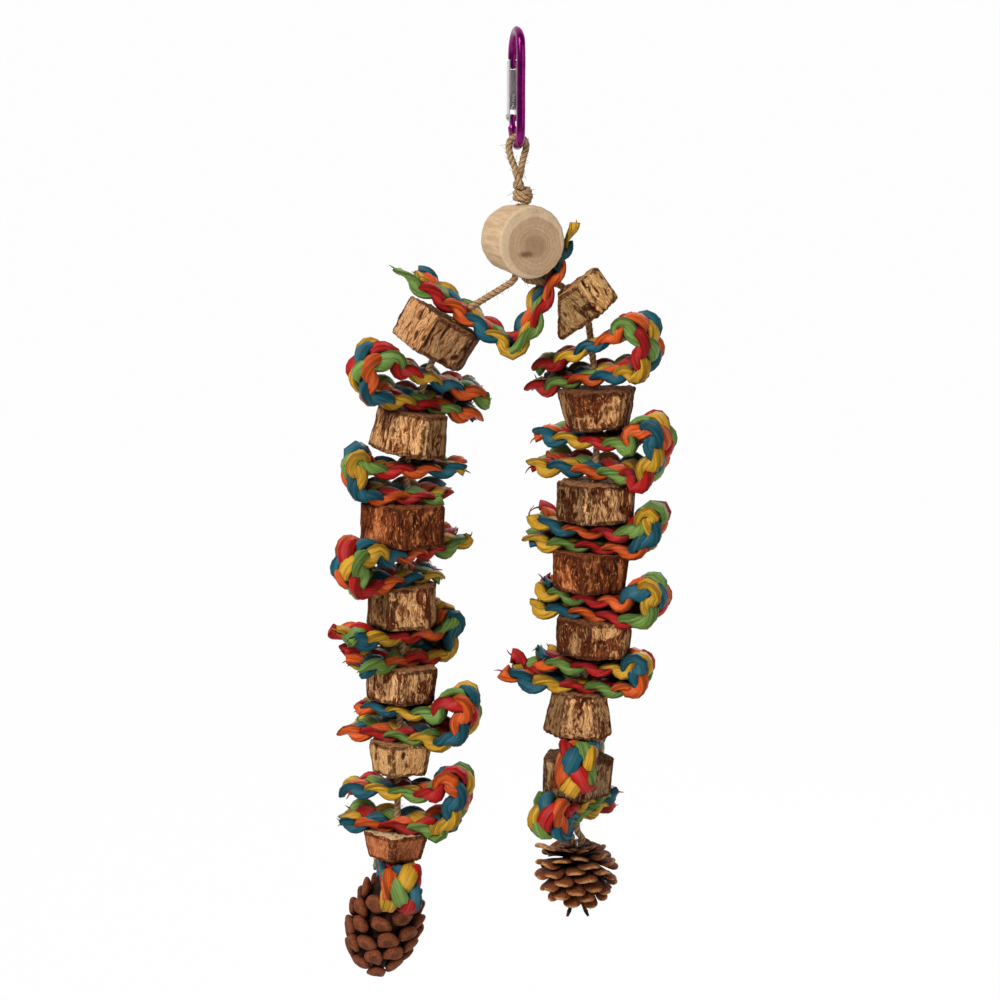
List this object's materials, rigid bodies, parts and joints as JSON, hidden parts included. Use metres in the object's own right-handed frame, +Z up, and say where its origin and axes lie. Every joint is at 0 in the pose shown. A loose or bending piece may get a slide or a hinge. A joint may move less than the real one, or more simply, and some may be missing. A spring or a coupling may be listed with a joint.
{
  "type": "parrot chew toy",
  "caption": "Hanging bird chew toy: a sprung clip and jute cord carry a log slice and legs of palm-wood blocks and folded colourful leaf braids that end in pine cones.",
  "frame": {"origin": "inside of the clip's top bend, where it hangs", "axes": "+Z up; -Y is the front, the side that the picture shows; the right leg is at +X"},
  "size_m": [0.1646, 0.0639, 0.4819],
  "materials": {
    "anodised_metal": "polished purple anodised",
    "steel": "bright plated",
    "jute": "twisted rough fibre",
    "peeled_wood": "peeled and sawn",
    "palm_wood": "fibrous, streaked",
    "pine_cone": "dry scales",
    "palm_leaf": "dyed in mixed colours, satin"
  },
  "bodies": {
    "clip": {"clip_body": "anodised_metal", "gate_rivet": "steel"},
    "gate": {"clip_gate": "steel", "gate_spring": "steel"},
    "cord_top": {"hanging_loop": "jute", "loop_knot": "jute", "left_diagonal": "jute", "right_diagonal": "jute"},
    "log": {"log_slice": "peeled_wood"},
    "swag": {"swag_braid": "palm_leaf"},
    "left_block_1": {"left_block_1": "palm_wood"},
    "left_leg_1": {"left_cord_1": "jute"},
    "left_block_2": {"left_block_2": "palm_wood"},
    "left_braid_1": {"left_braid_1": "palm_leaf"},
    "left_leg_2": {"left_cord_2": "jute"},
    "left_block_3": {"left_block_3": "palm_wood"},
    "left_block_4": {"left_block_4": "palm_wood"},
    "left_block_5": {"left_block_5": "palm_wood"},
    "left_block_6": {"left_block_6": "palm_wood"},
    "left_braid_2": {"left_braid_2": "palm_leaf"},
    "left_braid_3": {"left_braid_3": "palm_leaf"},
    "left_braid_4": {"left_braid_4": "palm_leaf"},
    "left_braid_5": {"left_braid_5": "palm_leaf"},
    "left_leg_3": {"left_cord_3": "jute"},
    "left_block_7": {"left_block_7": "palm_wood"},
    "left_braid_6": {"left_braid_6": "palm_leaf"},
    "left_braid_7": {"left_braid_7": "palm_leaf"},
    "left_cone_hang": {"left_screw_eye": "steel", "left_cone": "pine_cone"},
    "right_block_1": {"right_block_1": "palm_wood"},
    "right_leg_1": {"right_cord_1": "jute"},
    "right_block_2": {"right_block_2": "palm_wood"},
    "right_braid_1": {"right_braid_1": "palm_leaf"},
    "right_leg_2": {"right_cord_2": "jute"},
    "right_block_3": {"right_block_3": "palm_wood"},
    "right_block_4": {"right_block_4": "palm_wood"},
    "right_block_5": {"right_block_5": "palm_wood"},
    "right_braid_2": {"right_braid_2": "palm_leaf"},
    "right_braid_3": {"right_braid_3": "palm_leaf"},
    "right_braid_4": {"right_braid_4": "palm_leaf"},
    "right_leg_3": {"right_cord_3": "jute"},
    "right_block_6": {"right_block_6": "palm_wood"},
    "right_block_7": {"right_block_7": "palm_wood"},
    "right_braid_5": {"right_braid_5": "palm_leaf"},
    "right_braid_6": {"right_braid_6": "palm_leaf"},
    "right_braid_7": {"right_braid_7": "palm_leaf"},
    "right_cone_hang": {"right_screw_eye": "steel", "right_cone": "pine_cone"}
  },
  "joints": [
    {"name": "gate_hinge", "type": "hinge", "parent": "clip", "child": "gate", "pos_m": [-0.00143, 0.01526, -0.04026], "axis": [0.9843, 0.1736, 0.0309], "range_deg": [0, 25], "stiffness_Nm_per_rad": 0.05, "springref_deg": -28.65},
    {"name": "loop_swing", "type": "hinge", "parent": "clip", "child": "cord_top", "pos_m": [0.00168, 0, -0.05337], "axis": [-0.1736, 0.9848, -0.0055], "range_deg": [-40, 40]},
    {"name": "log_turn", "type": "hinge", "parent": "cord_top", "child": "log", "pos_m": [0.005, 0, -0.0996], "axis": [0, 0, 1], "range_deg": [-15, 5]},
    {"name": "swag_rock", "type": "hinge", "parent": "cord_top", "child": "swag", "pos_m": [-0.02411, 0, -0.1364], "axis": [0.9496, 0, 0.3136], "range_deg": [-8, 4]},
    {"name": "left_block_1_turn", "type": "hinge", "parent": "cord_top", "child": "left_block_1", "pos_m": [-0.03143, 0, -0.15017], "axis": [0.4695, 0, 0.8829], "range_deg": [-60, 60]},
    {"name": "left_leg_1_swing", "type": "hinge", "parent": "cord_top", "child": "left_leg_1", "pos_m": [-0.03636, 0, -0.15944], "axis": [1, 0, 0], "range_deg": [-15, 15]},
    {"name": "left_block_2_turn", "type": "hinge", "parent": "left_leg_1", "child": "left_block_2", "pos_m": [-0.04631, 0, -0.19687], "axis": [0.1219, 0, 0.9925], "continuous": true},
    {"name": "left_braid_1_turn", "type": "hinge", "parent": "left_leg_1", "child": "left_braid_1", "pos_m": [-0.04131, 0, -0.17469], "axis": [0.309, 0, 0.9511], "range_deg": [-120, 50]},
    {"name": "left_leg_2_bend", "type": "hinge", "parent": "left_leg_1", "child": "left_leg_2", "pos_m": [-0.04765, 0, -0.20778], "axis": [0, 1, 0], "range_deg": [-5, 12]},
    {"name": "left_block_3_turn", "type": "hinge", "parent": "left_leg_2", "child": "left_block_3", "pos_m": [-0.04765, 0, -0.24341], "axis": [0, 0, 1], "continuous": true},
    {"name": "left_block_4_turn", "type": "hinge", "parent": "left_leg_2", "child": "left_block_4", "pos_m": [-0.04765, 0, -0.28462], "axis": [0, 0, 1], "continuous": true},
    {"name": "left_block_5_turn", "type": "hinge", "parent": "left_leg_2", "child": "left_block_5", "pos_m": [-0.04765, 0, -0.32494], "axis": [0, 0, 1], "continuous": true},
    {"name": "left_block_6_turn", "type": "hinge", "parent": "left_leg_2", "child": "left_block_6", "pos_m": [-0.04765, 0, -0.36341], "axis": [0, 0, 1], "continuous": true},
    {"name": "left_braid_2_turn", "type": "hinge", "parent": "left_leg_2", "child": "left_braid_2", "pos_m": [-0.04765, 0, -0.22162], "axis": [0, 0, 1], "continuous": true},
    {"name": "left_braid_3_turn", "type": "hinge", "parent": "left_leg_2", "child": "left_braid_3", "pos_m": [-0.04765, 0, -0.26389], "axis": [0, 0, 1], "continuous": true},
    {"name": "left_braid_4_turn", "type": "hinge", "parent": "left_leg_2", "child": "left_braid_4", "pos_m": [-0.04765, 0, -0.30565], "axis": [0, 0, 1], "continuous": true},
    {"name": "left_braid_5_turn", "type": "hinge", "parent": "left_leg_2", "child": "left_braid_5", "pos_m": [-0.04765, 0, -0.34443], "axis": [0, 0, 1], "continuous": true},
    {"name": "left_leg_3_swing", "type": "hinge", "parent": "left_leg_2", "child": "left_leg_3", "pos_m": [-0.04765, 0, -0.37216], "axis": [1, 0, 0], "range_deg": [-15, 15]},
    {"name": "left_block_7_turn", "type": "hinge", "parent": "left_leg_3", "child": "left_block_7", "pos_m": [-0.04765, 0, -0.40949], "axis": [0, 0, 1], "continuous": true},
    {"name": "left_braid_6_turn", "type": "hinge", "parent": "left_leg_3", "child": "left_braid_6", "pos_m": [-0.04765, 0, -0.3892], "axis": [0, 0, 1], "continuous": true},
    {"name": "left_braid_7_turn", "type": "hinge", "parent": "left_leg_3", "child": "left_braid_7", "pos_m": [-0.04765, 0, -0.42204], "axis": [0, 0, 1], "continuous": true},
    {"name": "left_cone_swing", "type": "hinge", "parent": "left_leg_3", "child": "left_cone_hang", "pos_m": [-0.04765, 0, -0.43434], "axis": [1, 0, 0], "range_deg": [-12, 12]},
    {"name": "right_block_1_turn", "type": "hinge", "parent": "cord_top", "child": "right_block_1", "pos_m": [0.03364, 0, -0.13098], "axis": [-0.6293, 0, 0.7771], "range_deg": [-15, 25]},
    {"name": "right_leg_1_swing", "type": "hinge", "parent": "cord_top", "child": "right_leg_1", "pos_m": [0.03977, 0, -0.13855], "axis": [1, 0, 0], "range_deg": [-12, 12]},
    {"name": "right_block_2_turn", "type": "hinge", "parent": "right_leg_1", "child": "right_block_2", "pos_m": [0.04575, 0, -0.18189], "axis": [-0.0698, 0, 0.9976], "continuous": true},
    {"name": "right_braid_1_turn", "type": "hinge", "parent": "right_leg_1", "child": "right_braid_1", "pos_m": [0.04292, 0, -0.15844], "axis": [-0.1564, 0, 0.9877], "range_deg": [-50, 90]},
    {"name": "right_leg_2_bend", "type": "hinge", "parent": "right_leg_1", "child": "right_leg_2", "pos_m": [0.04645, 0, -0.19186], "axis": [0, 1, 0], "range_deg": [-10, 4]},
    {"name": "right_block_3_turn", "type": "hinge", "parent": "right_leg_2", "child": "right_block_3", "pos_m": [0.04607, 0, -0.22854], "axis": [0.0105, 0, 0.9999], "continuous": true},
    {"name": "right_block_4_turn", "type": "hinge", "parent": "right_leg_2", "child": "right_block_4", "pos_m": [0.0457, 0, -0.2638], "axis": [0.0105, 0, 0.9999], "continuous": true},
    {"name": "right_block_5_turn", "type": "hinge", "parent": "right_leg_2", "child": "right_block_5", "pos_m": [0.04535, 0, -0.29735], "axis": [0.0105, 0, 0.9999], "continuous": true},
    {"name": "right_braid_2_turn", "type": "hinge", "parent": "right_leg_2", "child": "right_braid_2", "pos_m": [0.04632, 0, -0.2047], "axis": [0.0105, 0, 0.9999], "continuous": true},
    {"name": "right_braid_3_turn", "type": "hinge", "parent": "right_leg_2", "child": "right_braid_3", "pos_m": [0.04588, 0, -0.24647], "axis": [0.0105, 0, 0.9999], "continuous": true},
    {"name": "right_braid_4_turn", "type": "hinge", "parent": "right_leg_2", "child": "right_braid_4", "pos_m": [0.04552, 0, -0.28083], "axis": [0.0105, 0, 0.9999], "continuous": true},
    {"name": "right_leg_3_swing", "type": "hinge", "parent": "right_leg_2", "child": "right_leg_3", "pos_m": [0.04525, 0, -0.30685], "axis": [1, 0, 0], "range_deg": [-8, 8]},
    {"name": "right_block_6_turn", "type": "hinge", "parent": "right_leg_3", "child": "right_block_6", "pos_m": [0.04493, 0, -0.33712], "axis": [0.0105, 0, 0.9999], "continuous": true},
    {"name": "right_block_7_turn", "type": "hinge", "parent": "right_leg_3", "child": "right_block_7", "pos_m": [0.04458, 0, -0.37012], "axis": [0.0105, 0, 0.9999], "continuous": true},
    {"name": "right_braid_5_turn", "type": "hinge", "parent": "right_leg_3", "child": "right_braid_5", "pos_m": [0.04514, 0, -0.31699], "axis": [0.0105, 0, 0.9999], "continuous": true},
    {"name": "right_braid_6_turn", "type": "hinge", "parent": "right_leg_3", "child": "right_braid_6", "pos_m": [0.04475, 0, -0.35432], "axis": [0.0105, 0, 0.9999], "continuous": true},
    {"name": "right_braid_7_turn", "type": "hinge", "parent": "right_leg_3", "child": "right_braid_7", "pos_m": [0.04442, 0, -0.38592], "axis": [0.0105, 0, 0.9999], "continuous": true},
    {"name": "right_cone_swing", "type": "hinge", "parent": "right_leg_3", "child": "right_cone_hang", "pos_m": [0.04427, 0, -0.40672], "axis": [1, 0, 0], "range_deg": [-35, 35]}
  ]
}
